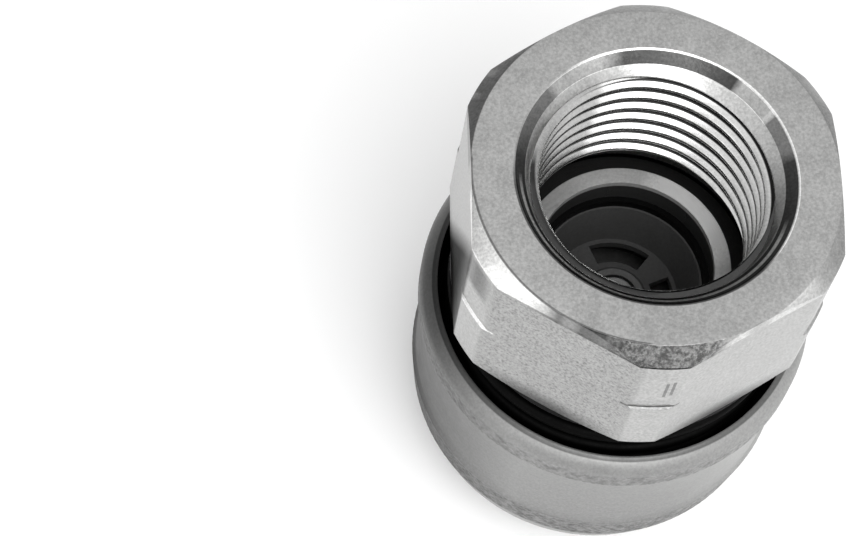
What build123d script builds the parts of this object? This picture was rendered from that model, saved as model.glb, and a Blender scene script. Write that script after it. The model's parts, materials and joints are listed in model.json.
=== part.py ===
from build123d import *
import math
import os

os.makedirs("parts", exist_ok=True)

# All sizes in millimetres. The coupler stands on its nose: +Z runs along the flow axis
# from the nose (Z = 0) to the threaded port face at the top.

# Hexagon, turned over its corners
hex_across_flats = 30.0
hex_corner_overhang = 1.3
hex_lower_corner_overhang = 1.5
hex_corner_chamfer_depth = 1.7
hex_step_depth = 9.4
hex_step_height = 0.15
hex_length = 16.6
hex_underside_drop = 0.9

# Threaded port, parallel pipe thread, half inch
port_thread_radius = 10.48
port_mouth_widening = 1.1
port_mouth_depth = 1.2
port_thread_length = 13.34
port_depth = 16.6

# Socket barrel
socket_bore_radius = 10.3
barrel_wall = 3.1
socket_bore_depth = 16.2
collar_bore_extra = 0.4
collar_bore_depth = 7.0
nose_chamfer = 0.9
nose_lead_in = 0.7
valve_seat_hole_radius = 5.4
valve_seat_rise = 1.7
web_thickness = 0.7
guide_seat_step = 0.57
barrel_rear_lip = 2.7
barrel_rear_chamfer_width = 1.95
barrel_rear_chamfer_drop = 1.5

# Joint between the port body and the socket barrel
joint_shoulder = 2.4
joint_clearance = 0.04
joint_length = 6.8

# Locking balls
ball_count = 8
ball_radius = 1.985
ball_plane_from_web = 6.6
ball_hole_clearance = 0.06
ball_to_land_gap = 0.03
ball_release_travel = 0.86

# Release sleeve
sleeve_wall = 3.74
sleeve_bore_clearance = 0.06
sleeve_front_overhang = 5.1
sleeve_front_taper_width = 1.03
sleeve_front_taper_length = 3.16
sleeve_waist_fall = 0.35
sleeve_front_band_fall = 0.42
sleeve_front_bore_extra = 1.05
sleeve_land_below_balls = 2.5
sleeve_land_above_balls = 5.0
sleeve_to_hex_gap = 4.25
sleeve_rear_lip = 0.2
sleeve_rear_bevel_drop = 1.33
knurl_rear_width = 2.0
knurl_front_width = 3.7
waist_depth = 0.22
waist_hollow = 0.28
knurl_edge = 0.25

# Front retaining ring of the sleeve
front_ring_height = 1.05
front_ring_groove_depth = 0.85
front_ring_side_clearance = 0.35
ring_side_gap = 0.05
ring_gap_width = 2.4

# Sleeve spring and its seat washer
spring_wire_radius = 0.6
spring_inner_gap = 0.36
spring_outer_gap = 0.80
spring_turns = 5.5
seat_washer_thickness = 0.8
seat_washer_margin = 0.04
seat_washer_clearance = 0.1

# Seals
seal_groove_depth = 1.9
seal_groove_above_balls = 3.0
socket_seal_radius = 1.0
backup_thickness = 0.9
backup_bore_gap = 0.05
seal_seat_gap = 0.02
body_seal_radius = 0.8
body_seal_above_shoulder = 0.7
body_seal_side_gap = 0.05

# Valve guide and the ring that holds it
guide_flange_thickness = 0.8
guide_clearance = 0.05
guide_dish_depth = 3.5
guide_dish_slope_width = 1.1
guide_floor_thickness = 0.8
guide_boss_radius = 2.9
guide_boss_height = 0.3
guide_slot_count = 4
guide_slot_inner_radius = 3.4
guide_slot_outer_radius = 5.3
guide_slot_half_angle = 31.0
guide_slot_turn = 81.5
snap_ring_reach = 0.49
snap_ring_height = 0.9
snap_ring_groove_depth = 0.6
snap_ring_gap_angle = 24.0

# Poppet valve
poppet_stem_radius = 2.0
poppet_stem_clearance = 0.06
poppet_stem_above_boss = 0.1
poppet_stem_chamfer = 0.3
poppet_head_clearance = 0.5
poppet_head_rise = 0.8
poppet_nose_clearance = 0.8
poppet_nose_reach = 2.0
poppet_nose_edge = 0.8
poppet_seat_gap = 0.3
poppet_seal_radius = 0.55
poppet_pocket_wall = 2.3
poppet_pocket_core = 0.6
poppet_pocket_depth = 2.1
poppet_spring_wire_radius = 0.42
poppet_spring_room = 3.1
poppet_spring_turns = 3.0

# Radii that follow from the ones above
hex_half = hex_across_flats / 2
hex_corner_radius = hex_half + hex_corner_overhang
hex_lower_corner_radius = hex_half + hex_lower_corner_overhang
port_mouth_radius = port_thread_radius + port_mouth_widening
barrel_outer_radius = socket_bore_radius + barrel_wall
joint_thread_radius = barrel_outer_radius - joint_shoulder
valve_chamber_radius = valve_seat_hole_radius + valve_seat_rise
collar_bore_radius = socket_bore_radius + collar_bore_extra
guide_bore_radius = valve_chamber_radius + guide_seat_step
snap_groove_radius = guide_bore_radius + snap_ring_groove_depth
snap_ring_inner_radius = guide_bore_radius - snap_ring_reach
barrel_rear_chamfer_radius = joint_thread_radius - barrel_rear_chamfer_width
land_radius = barrel_outer_radius + sleeve_bore_clearance
ball_ring_radius = land_radius - ball_radius - ball_to_land_gap
front_bore_radius = barrel_outer_radius + sleeve_front_bore_extra
sleeve_outer_radius = land_radius + sleeve_wall
knurl_front_top_radius = sleeve_outer_radius - sleeve_waist_fall
knurl_front_bottom_radius = knurl_front_top_radius - sleeve_front_band_fall
sleeve_front_radius = knurl_front_bottom_radius - sleeve_front_taper_width
waist_rear_radius = sleeve_outer_radius - waist_depth
waist_front_radius = knurl_front_top_radius - waist_depth
waist_middle_radius = (waist_rear_radius + waist_front_radius) / 2 - waist_hollow
front_ring_groove_radius = barrel_outer_radius - front_ring_groove_depth
front_ring_outer_radius = front_bore_radius - front_ring_side_clearance
spring_mean_radius = barrel_outer_radius + spring_inner_gap + spring_wire_radius
seat_washer_outer_radius = spring_mean_radius + spring_wire_radius + seat_washer_margin
sleeve_rear_bore_radius = spring_mean_radius + spring_wire_radius + spring_outer_gap
sleeve_rear_edge_radius = sleeve_rear_bore_radius + sleeve_rear_lip
seal_groove_radius = socket_bore_radius + seal_groove_depth
socket_seal_ring_radius = seal_groove_radius - socket_seal_radius - seal_seat_gap
body_seal_ring_radius = joint_thread_radius - body_seal_radius
body_seal_groove_radius = body_seal_ring_radius - body_seal_radius - seal_seat_gap
guide_dish_radius = valve_chamber_radius - guide_dish_slope_width
poppet_head_radius = valve_chamber_radius - poppet_head_clearance
poppet_nose_radius = valve_seat_hole_radius - poppet_nose_clearance
poppet_pocket_outer_radius = poppet_head_radius - poppet_pocket_wall
poppet_pocket_inner_radius = poppet_stem_radius + poppet_pocket_core

# Heights that follow, from the nose up
web_top_z = socket_bore_depth + web_thickness
seat_top_z = web_top_z + valve_seat_rise
poppet_head_top_z = seat_top_z + poppet_head_rise
poppet_pocket_floor_z = poppet_head_top_z - poppet_pocket_depth
poppet_nose_z = socket_bore_depth - poppet_nose_reach
guide_floor_z = poppet_head_top_z + poppet_spring_room
guide_floor_top_z = guide_floor_z + guide_floor_thickness
guide_boss_top_z = guide_floor_top_z + guide_boss_height
guide_flange_top_z = guide_floor_top_z + guide_dish_depth
guide_shoulder_z = guide_flange_top_z - guide_flange_thickness
poppet_stem_top_z = guide_boss_top_z + poppet_stem_above_boss
snap_ring_top_z = guide_flange_top_z + snap_ring_height
barrel_rear_z = snap_ring_top_z + barrel_rear_lip
skirt_bottom_z = barrel_rear_z - joint_length
body_seal_groove_bottom_z = skirt_bottom_z + body_seal_above_shoulder
body_seal_groove_top_z = body_seal_groove_bottom_z + 2 * (body_seal_radius + body_seal_side_gap)
top_z = barrel_rear_z + port_depth
thread_end_z = top_z - port_thread_length
hex_corner_end_z = top_z - hex_length
hex_underside_z = hex_corner_end_z - hex_underside_drop
hex_step_z = top_z - hex_step_depth
seat_washer_bottom_z = hex_underside_z - seat_washer_thickness
ball_plane_z = socket_bore_depth - ball_plane_from_web
seal_groove_bottom_z = ball_plane_z + seal_groove_above_balls
backup_bottom_z = seal_groove_bottom_z + seal_seat_gap
socket_seal_z = backup_bottom_z + backup_thickness + seal_seat_gap + socket_seal_radius
seal_groove_top_z = socket_seal_z + socket_seal_radius + seal_seat_gap
sleeve_front_z = ball_plane_z - sleeve_front_overhang
land_bottom_z = ball_plane_z - sleeve_land_below_balls
sleeve_land_top_z = ball_plane_z + sleeve_land_above_balls
sleeve_rear_z = hex_underside_z - sleeve_to_hex_gap
knurl_rear_top_z = sleeve_rear_z - sleeve_rear_bevel_drop
knurl_rear_bottom_z = knurl_rear_top_z - knurl_rear_width
knurl_front_bottom_z = sleeve_front_z + sleeve_front_taper_length
knurl_front_top_z = knurl_front_bottom_z + knurl_front_width
front_ring_top_z = land_bottom_z - ring_side_gap
front_ring_bottom_z = front_ring_top_z - front_ring_height


# Port body: hexagon with the female port, skirt below it
with BuildPart() as port_body:
    with BuildSketch(Plane.XY.offset(hex_underside_z)):
        RegularPolygon(radius=hex_half, side_count=6, major_radius=False, rotation=30)
    extrude(amount=top_z - hex_underside_z)
    # Turned outline over the corners: face chamfer, corner step and underside cone
    with BuildSketch(Plane.XZ):
        with BuildLine():
            Polyline(
                (0, hex_underside_z - 0.01),
                (hex_half, hex_underside_z - 0.01),
                (hex_half, hex_underside_z),
                (hex_lower_corner_radius, hex_corner_end_z),
                (hex_lower_corner_radius, hex_step_z - hex_step_height),
                (hex_corner_radius, hex_step_z),
                (hex_corner_radius, top_z - hex_corner_chamfer_depth),
                (hex_half, top_z),
                (0, top_z),
                close=True,
            )
        make_face()
    revolve(axis=Axis.Z, mode=Mode.INTERSECT)
    # Skirt that screws over the barrel
    with BuildSketch(Plane.XY.offset(skirt_bottom_z)):
        Circle(barrel_outer_radius)
    extrude(amount=hex_underside_z - skirt_bottom_z)
    # Port bore, thread relief and barrel thread bore
    with BuildSketch(Plane.XZ):
        with BuildLine():
            Polyline(
                (0, skirt_bottom_z - 1),
                (joint_thread_radius + joint_clearance, skirt_bottom_z - 1),
                (joint_thread_radius + joint_clearance, thread_end_z),
                (port_thread_radius, thread_end_z),
                (port_thread_radius, top_z - port_mouth_depth),
                (port_mouth_radius, top_z),
                (port_mouth_radius, top_z + 1),
                (0, top_z + 1),
                close=True,
            )
        make_face()
    revolve(axis=Axis.Z, mode=Mode.SUBTRACT)
port_body.part.label = "port_body"
export_step(port_body.part, "parts/port_body.step")


# Socket barrel: nose bore for the plug, ball holes, valve seat and rear spigot
with BuildPart() as socket_barrel:
    with BuildSketch(Plane.XZ):
        with BuildLine():
            Polyline(
                (collar_bore_radius + nose_lead_in, 0),
                (barrel_outer_radius - nose_chamfer, 0),
                (barrel_outer_radius, nose_chamfer),
                (barrel_outer_radius, front_ring_bottom_z - ring_side_gap),
                (front_ring_groove_radius, front_ring_bottom_z - ring_side_gap),
                (front_ring_groove_radius, front_ring_top_z + ring_side_gap),
                (barrel_outer_radius, front_ring_top_z + ring_side_gap),
                (barrel_outer_radius, skirt_bottom_z),
                (joint_thread_radius, skirt_bottom_z),
                (joint_thread_radius, body_seal_groove_bottom_z),
                (body_seal_groove_radius, body_seal_groove_bottom_z),
                (body_seal_groove_radius, body_seal_groove_top_z),
                (joint_thread_radius, body_seal_groove_top_z),
                (joint_thread_radius, barrel_rear_z - barrel_rear_chamfer_drop),
                (barrel_rear_chamfer_radius, barrel_rear_z),
                (guide_bore_radius, barrel_rear_z),
                (guide_bore_radius, snap_ring_top_z),
                (snap_groove_radius, snap_ring_top_z),
                (snap_groove_radius, guide_flange_top_z),
                (guide_bore_radius, guide_flange_top_z),
                (guide_bore_radius, guide_shoulder_z),
                (valve_chamber_radius, guide_shoulder_z),
                (valve_chamber_radius, seat_top_z),
                (valve_seat_hole_radius, web_top_z),
                (valve_seat_hole_radius, socket_bore_depth),
                (socket_bore_radius, socket_bore_depth),
                (socket_bore_radius, seal_groove_top_z),
                (seal_groove_radius, seal_groove_top_z),
                (seal_groove_radius, seal_groove_bottom_z),
                (socket_bore_radius, seal_groove_bottom_z),
                (socket_bore_radius, collar_bore_depth),
                (collar_bore_radius, collar_bore_depth),
                (collar_bore_radius, nose_lead_in),
                close=True,
            )
        make_face()
    revolve(axis=Axis.Z)
    # Radial holes that hold the balls
    for index in range(ball_count):
        angle = 360.0 / ball_count * index
        hole_plane = Plane(
            origin=(0, 0, ball_plane_z),
            x_dir=(0, 0, 1),
            z_dir=(math.cos(math.radians(angle)), math.sin(math.radians(angle)), 0),
        )
        with BuildSketch(hole_plane.offset(socket_bore_radius - 3)):
            Circle(ball_radius + ball_hole_clearance)
        extrude(amount=barrel_wall + 4, mode=Mode.SUBTRACT)
socket_barrel.part.label = "socket_barrel"
export_step(socket_barrel.part, "parts/socket_barrel.step")


# Release sleeve: bevelled rear rim, two gripping bands and a hollowed waist
with BuildPart() as release_sleeve:
    with BuildSketch(Plane.XZ):
        with BuildLine():
            outer_start = (sleeve_rear_edge_radius, sleeve_rear_z)
            Polyline(
                outer_start,
                (sleeve_outer_radius, knurl_rear_top_z),
                (sleeve_outer_radius, knurl_rear_bottom_z + knurl_edge),
                (waist_rear_radius, knurl_rear_bottom_z),
            )
            ThreePointArc(
                (waist_rear_radius, knurl_rear_bottom_z),
                (waist_middle_radius, (knurl_rear_bottom_z + knurl_front_top_z) / 2),
                (waist_front_radius, knurl_front_top_z),
            )
            Polyline(
                (waist_front_radius, knurl_front_top_z),
                (knurl_front_top_radius, knurl_front_top_z - knurl_edge),
                (knurl_front_bottom_radius, knurl_front_bottom_z),
                (sleeve_front_radius, sleeve_front_z),
                (front_bore_radius, sleeve_front_z),
                (front_bore_radius, land_bottom_z),
                (land_radius + ball_release_travel, land_bottom_z),
                (land_radius, ball_plane_z + 0.6),
                (land_radius, sleeve_land_top_z),
                (sleeve_rear_bore_radius, sleeve_land_top_z),
                (sleeve_rear_bore_radius, sleeve_rear_z),
                outer_start,
            )
        make_face()
    revolve(axis=Axis.Z)
release_sleeve.part.label = "release_sleeve"
export_step(release_sleeve.part, "parts/release_sleeve.step")


# Front retaining ring, split
with BuildPart() as front_retaining_ring:
    with BuildSketch(Plane.XY.offset(front_ring_bottom_z)):
        Circle(front_ring_outer_radius)
        Circle(front_ring_groove_radius + seal_seat_gap, mode=Mode.SUBTRACT)
        with Locations((0, -barrel_outer_radius)):
            Rectangle(ring_gap_width, 4, mode=Mode.SUBTRACT)
    extrude(amount=front_ring_height)
front_retaining_ring.part.label = "front_retaining_ring"
export_step(front_retaining_ring.part, "parts/front_retaining_ring.step")


# Sleeve spring, seated on the sleeve's inner land and on the seat washer
sleeve_spring_bottom_z = sleeve_land_top_z + spring_wire_radius
sleeve_spring_height = seat_washer_bottom_z - sleeve_land_top_z - 2 * spring_wire_radius
with BuildPart() as sleeve_spring:
    with BuildLine(Plane.XY.offset(sleeve_spring_bottom_z)):
        sleeve_spring_path = Helix(
            pitch=sleeve_spring_height / spring_turns,
            height=sleeve_spring_height,
            radius=spring_mean_radius,
        )
    with BuildSketch(Plane(origin=sleeve_spring_path @ 0, z_dir=sleeve_spring_path % 0)):
        Circle(spring_wire_radius)
    sweep(is_frenet=True)
sleeve_spring.part.label = "sleeve_spring"
export_step(sleeve_spring.part, "parts/sleeve_spring.step")


# Seat washer under the hexagon
with BuildPart() as spring_seat_washer:
    with BuildSketch(Plane.XY.offset(seat_washer_bottom_z)):
        Circle(seat_washer_outer_radius)
        Circle(barrel_outer_radius + seat_washer_clearance, mode=Mode.SUBTRACT)
    extrude(amount=seat_washer_thickness)
spring_seat_washer.part.label = "spring_seat_washer"
export_step(spring_seat_washer.part, "parts/spring_seat_washer.step")


# Locking balls, one node each
for index in range(ball_count):
    angle = math.radians(360.0 / ball_count * index)
    with BuildPart() as locking_ball:
        with Locations((ball_ring_radius * math.cos(angle), ball_ring_radius * math.sin(angle), ball_plane_z)):
            Sphere(ball_radius)
    locking_ball.part.label = f"locking_ball_{index + 1}"
    export_step(locking_ball.part, f"parts/locking_ball_{index + 1}.step")


# Socket seal that closes on the plug
with BuildPart() as socket_o_ring:
    with BuildSketch(Plane.XZ):
        with Locations((socket_seal_ring_radius, socket_seal_z)):
            Circle(socket_seal_radius)
    revolve(axis=Axis.Z)
socket_o_ring.part.label = "socket_o_ring"
export_step(socket_o_ring.part, "parts/socket_o_ring.step")


# Flat backup ring in front of the socket seal
with BuildPart() as backup_ring:
    with BuildSketch(Plane.XY.offset(backup_bottom_z)):
        Circle(seal_groove_radius - seal_seat_gap)
        Circle(socket_bore_radius + backup_bore_gap, mode=Mode.SUBTRACT)
    extrude(amount=backup_thickness)
backup_ring.part.label = "backup_ring"
export_step(backup_ring.part, "parts/backup_ring.step")


# Seal between the port body and the barrel
with BuildPart() as body_o_ring:
    with BuildSketch(Plane.XZ):
        with Locations((body_seal_ring_radius, (body_seal_groove_bottom_z + body_seal_groove_top_z) / 2)):
            Circle(body_seal_radius)
    revolve(axis=Axis.Z)
body_o_ring.part.label = "body_o_ring"
export_step(body_o_ring.part, "parts/body_o_ring.step")


# Valve guide: dished plate with flow slots round a drilled boss
with BuildPart() as valve_guide:
    with BuildSketch(Plane.XZ):
        with BuildLine():
            Polyline(
                (poppet_stem_radius + poppet_stem_clearance, guide_floor_z),
                (guide_dish_radius, guide_floor_z),
                (valve_chamber_radius - 2 * guide_clearance, guide_shoulder_z),
                (guide_bore_radius - guide_clearance, guide_shoulder_z),
                (guide_bore_radius - guide_clearance, guide_flange_top_z),
                (valve_chamber_radius - 2 * guide_clearance, guide_flange_top_z),
                (guide_dish_radius - 0.3, guide_floor_top_z),
                (guide_boss_radius, guide_floor_top_z),
                (guide_boss_radius - 0.3, guide_boss_top_z),
                (poppet_stem_radius + poppet_stem_clearance, guide_boss_top_z),
                close=True,
            )
        make_face()
    revolve(axis=Axis.Z)
    # Curved slots, one after another round the boss
    for index in range(guide_slot_count):
        middle = guide_slot_turn + 360.0 / guide_slot_count * index
        start = math.radians(middle - guide_slot_half_angle)
        centre = math.radians(middle)
        end = math.radians(middle + guide_slot_half_angle)
        inner = guide_slot_inner_radius
        outer = guide_slot_outer_radius
        with BuildSketch(Plane.XY.offset(guide_floor_z - 0.5)):
            with BuildLine():
                ThreePointArc(
                    (outer * math.cos(start), outer * math.sin(start)),
                    (outer * math.cos(centre), outer * math.sin(centre)),
                    (outer * math.cos(end), outer * math.sin(end)),
                )
                Line(
                    (outer * math.cos(end), outer * math.sin(end)),
                    (inner * math.cos(end), inner * math.sin(end)),
                )
                ThreePointArc(
                    (inner * math.cos(end), inner * math.sin(end)),
                    (inner * math.cos(centre), inner * math.sin(centre)),
                    (inner * math.cos(start), inner * math.sin(start)),
                )
                Line(
                    (inner * math.cos(start), inner * math.sin(start)),
                    (outer * math.cos(start), outer * math.sin(start)),
                )
            make_face()
        extrude(amount=guide_floor_thickness + 1, mode=Mode.SUBTRACT)
valve_guide.part.label = "valve_guide"
export_step(valve_guide.part, "parts/valve_guide.step")


# Snap ring above the guide, open between its ends
snap_gap_reach = snap_groove_radius + 2
snap_gap_half = math.radians(snap_ring_gap_angle / 2)
with BuildPart() as guide_snap_ring:
    with BuildSketch(Plane.XY.offset(guide_flange_top_z)):
        Circle(snap_groove_radius - guide_clearance)
        Circle(snap_ring_inner_radius, mode=Mode.SUBTRACT)
        with BuildLine():
            Polyline(
                (0, 0),
                (snap_gap_reach * math.sin(-snap_gap_half), -snap_gap_reach * math.cos(snap_gap_half)),
                (snap_gap_reach * math.sin(snap_gap_half), -snap_gap_reach * math.cos(snap_gap_half)),
                close=True,
            )
        make_face(mode=Mode.SUBTRACT)
    extrude(amount=snap_ring_height)
guide_snap_ring.part.label = "guide_snap_ring"
export_step(guide_snap_ring.part, "parts/guide_snap_ring.step")


# Poppet valve: push nose, conical head with a spring pocket, guided stem
seat_offset = poppet_seat_gap / math.sqrt(2)
cone_low_radius = valve_seat_hole_radius - seat_offset
cone_low_z = web_top_z + seat_offset
cone_high_z = cone_low_z + poppet_head_radius - cone_low_radius
seal_middle_radius = (valve_seat_hole_radius + valve_chamber_radius) / 2
seal_middle_z = (web_top_z + seat_top_z) / 2
seal_offset = (poppet_seal_radius + seal_seat_gap) / math.sqrt(2)
poppet_seal_ring_radius = seal_middle_radius - seal_offset
poppet_seal_z = seal_middle_z + seal_offset
with BuildPart() as poppet:
    with BuildSketch(Plane.XZ):
        with BuildLine():
            Polyline(
                (0, poppet_nose_z),
                (poppet_nose_radius - poppet_nose_edge, poppet_nose_z),
                (poppet_nose_radius, poppet_nose_z + poppet_nose_edge),
                (poppet_nose_radius, cone_low_z - (cone_low_radius - poppet_nose_radius)),
                (cone_low_radius, cone_low_z),
                (poppet_head_radius, cone_high_z),
                (poppet_head_radius, poppet_head_top_z),
                (poppet_pocket_outer_radius, poppet_head_top_z),
                (poppet_pocket_outer_radius, poppet_pocket_floor_z),
                (poppet_pocket_inner_radius, poppet_pocket_floor_z),
                (poppet_pocket_inner_radius, poppet_head_top_z),
                (poppet_stem_radius, poppet_head_top_z),
                (poppet_stem_radius, poppet_stem_top_z - poppet_stem_chamfer),
                (poppet_stem_radius - poppet_stem_chamfer, poppet_stem_top_z),
                (0, poppet_stem_top_z),
                close=True,
            )
        make_face()
    revolve(axis=Axis.Z)
    # Groove for the valve seal
    with BuildSketch(Plane.XZ):
        with Locations((poppet_seal_ring_radius, poppet_seal_z)):
            Circle(poppet_seal_radius)
    revolve(axis=Axis.Z, mode=Mode.SUBTRACT)
poppet.part.label = "poppet"
export_step(poppet.part, "parts/poppet.step")


# Valve seal in the head
with BuildPart() as poppet_seal:
    with BuildSketch(Plane.XZ):
        with Locations((poppet_seal_ring_radius, poppet_seal_z)):
            Circle(poppet_seal_radius - 0.01)
    revolve(axis=Axis.Z)
poppet_seal.part.label = "poppet_seal"
export_step(poppet_seal.part, "parts/poppet_seal.step")


# Poppet spring between the head pocket and the guide
poppet_spring_bottom_z = poppet_pocket_floor_z + poppet_spring_wire_radius
poppet_spring_height = guide_floor_z - poppet_pocket_floor_z - 2 * poppet_spring_wire_radius
poppet_spring_radius = (poppet_pocket_outer_radius + poppet_pocket_inner_radius) / 2
with BuildPart() as poppet_spring:
    with BuildLine(Plane.XY.offset(poppet_spring_bottom_z)):
        poppet_spring_path = Helix(
            pitch=poppet_spring_height / poppet_spring_turns,
            height=poppet_spring_height,
            radius=poppet_spring_radius,
        )
    with BuildSketch(Plane(origin=poppet_spring_path @ 0, z_dir=poppet_spring_path % 0)):
        Circle(poppet_spring_wire_radius)
    sweep(is_frenet=True)
poppet_spring.part.label = "poppet_spring"
export_step(poppet_spring.part, "parts/poppet_spring.step")
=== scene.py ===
"""Looks of a quick connect coupler socket: hexagon port body, release sleeve, valve and locking parts."""

import json
import logging
import math
from dataclasses import dataclass, field, replace
from enum import Enum

import bmesh
import bpy
from bmesh.types import BMEdge, BMesh, BMVert
from bpy.types import Material, NodeSocket as Socket
from mathutils import Matrix, Vector

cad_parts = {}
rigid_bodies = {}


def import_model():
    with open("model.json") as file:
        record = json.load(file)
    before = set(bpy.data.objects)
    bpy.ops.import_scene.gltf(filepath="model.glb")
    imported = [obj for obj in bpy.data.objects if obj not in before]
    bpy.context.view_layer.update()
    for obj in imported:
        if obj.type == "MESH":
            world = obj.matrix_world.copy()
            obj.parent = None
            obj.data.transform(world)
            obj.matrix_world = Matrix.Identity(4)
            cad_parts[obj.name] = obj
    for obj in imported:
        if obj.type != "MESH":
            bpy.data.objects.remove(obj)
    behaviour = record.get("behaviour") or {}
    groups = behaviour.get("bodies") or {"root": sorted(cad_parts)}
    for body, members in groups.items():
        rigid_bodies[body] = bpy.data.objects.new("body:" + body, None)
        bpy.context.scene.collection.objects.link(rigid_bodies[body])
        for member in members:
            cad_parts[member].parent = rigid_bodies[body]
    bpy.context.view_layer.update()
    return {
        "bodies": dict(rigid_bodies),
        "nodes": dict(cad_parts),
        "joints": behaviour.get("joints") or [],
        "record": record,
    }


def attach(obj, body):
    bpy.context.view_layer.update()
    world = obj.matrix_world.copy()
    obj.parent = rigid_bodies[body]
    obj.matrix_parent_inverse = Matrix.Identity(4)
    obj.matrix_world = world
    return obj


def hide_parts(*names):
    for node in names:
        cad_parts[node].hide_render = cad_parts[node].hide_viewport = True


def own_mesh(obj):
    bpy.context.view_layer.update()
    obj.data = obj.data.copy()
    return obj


log = logging.getLogger("coupler")

MM = 0.001
PHOTO_WIDTH = 851
SENSOR_WIDTH = 36.0

# Most equal sectors that a turned mesh is put together from
MOST_SECTORS = 24

Profile = list[tuple[float, float]]
Triple = tuple[float, float, float]


class Grain(Enum):
    """Direction of the fine tool marks on a metal surface."""

    TURNED = "turned"
    FACED = "faced"
    SATIN = "satin"
    DRAWN = "drawn"


class Wear(Enum):
    """How a zone of a surface is broken up, whether it is worn, pressed or painted shade."""

    EVEN = "even"
    CHIPPED = "chipped"
    PITTED = "pitted"
    MOTTLED = "mottled"


@dataclass(frozen=True)
class Speckle:
    """Noise that breaks up a surface.

    Attributes:
        scale: Cells per metre.
        detail: Octaves.
        rough: Weight of the finer octaves.
        low: Noise that counts as 0.
        high: Noise that counts as 1.
        floor: What is left where the noise counts as 0.
    """

    scale: float
    detail: float = 3.0
    rough: float = 0.65
    low: float = 0.0
    high: float = 1.0
    floor: float = 0.0


WEAR_SPECKLE = {
    Wear.CHIPPED: Speckle(2400.0, 5.0, 0.75, 0.40, 0.56, 0.15),
    Wear.PITTED: Speckle(3600.0, 4.0, 0.70, 0.48, 0.68),
    Wear.MOTTLED: Speckle(1500.0, 4.0, 0.65, 0.38, 0.62, 0.15),
}
GRAIN_SPECKLE = {Grain.SATIN: Speckle(3400.0), Grain.DRAWN: Speckle(2600.0, 2.0, 0.5)}

# Mottling is part broad clouds and part fine specks, and roughness part clouds and part tool marks
CLOUD_SPECKLE = Speckle(420.0, 4.0, 0.6)
CLOUD_SHARE = 0.25
CLOUD_ROUGHNESS = 0.6
FINE_SPECKLE = Speckle(4200.0, 3.0, 0.6)

CHIP_SPECKLE = Speckle(1900.0, 5.0, 0.75)
CHIP_DEPTH = 0.12
SEAL_SPECKLE = Speckle(3800.0, 3.0, 0.6)
SEAL_GRAIN_DEPTH = 0.01

# Metres of noise to one radian, so short that the tool marks run round the axis
MARK_ANGLE_SCALE = 0.0012

# Blue against red and green in bare steel, and the noise with its darkest and brightest tone
STEEL_BLUE = 0.99
DARKEST = 0.36
BRIGHTEST = 0.64

# Stretch of the noise that roughness and seals follow, and how far they spread
NOISE_MIDDLE = (0.3, 0.7)
STEEL_SPREAD = (0.82, 1.2)
SEAL_SPREAD = (0.85, 1.15)
SEAL_TONES = (0.85, 1.2)

# Painted shade below this factor also darkens the reflections, so that it is dark at grazing angles too
DEEP_SHADE = 0.2


@dataclass(frozen=True)
class Zone:
    """A ring-shaped part of a surface painted darker or brighter than the rest, in millimetres: mostly
    painted shade and highlights, a few real wear.

    Attributes:
        low: Lowest height.
        high: Greatest height.
        inner: Smallest radius.
        outer: Largest radius.
        factor: Brightness against the rest.
        soft: Half the width over which the zone fades in height and radius.
        wear: How the zone is broken up.
        angle: Middle of a sector in degrees, or None for the full ring.
        half_angle: Half the sector's angle in degrees.
        feather: Softness of the sector's ends, as a cosine.
        lean: Rise of the upper limit per millimetre sideways.
    """

    low: float
    high: float
    inner: float
    outer: float
    factor: float
    soft: float = 0.08
    wear: Wear = Wear.EVEN
    angle: float | None = None
    half_angle: float = 20.0
    feather: float = 0.012
    lean: float = 0.0


def mapped(tree: bpy.types.NodeTree, value: Socket, numbers: tuple[float, ...],
           smooth: bool = False) -> Socket:
    """Adds a node that maps a value from one span to another, kept inside the second.

    Args:
        tree: Node tree that it is added to.
        value: Socket that is mapped.
        numbers: Start and end of the first span, then of the second.
        smooth: Whether both ends are eased.

    Returns:
        The mapped value's socket.
    """
    node = tree.nodes.new("ShaderNodeMapRange")
    node.interpolation_type = "SMOOTHSTEP" if smooth else "LINEAR"
    for name, number in zip(("From Min", "From Max", "To Min", "To Max"), numbers):
        node.inputs[name].default_value = number
    tree.links.new(value, node.inputs["Value"])
    return node.outputs["Result"]


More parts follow.
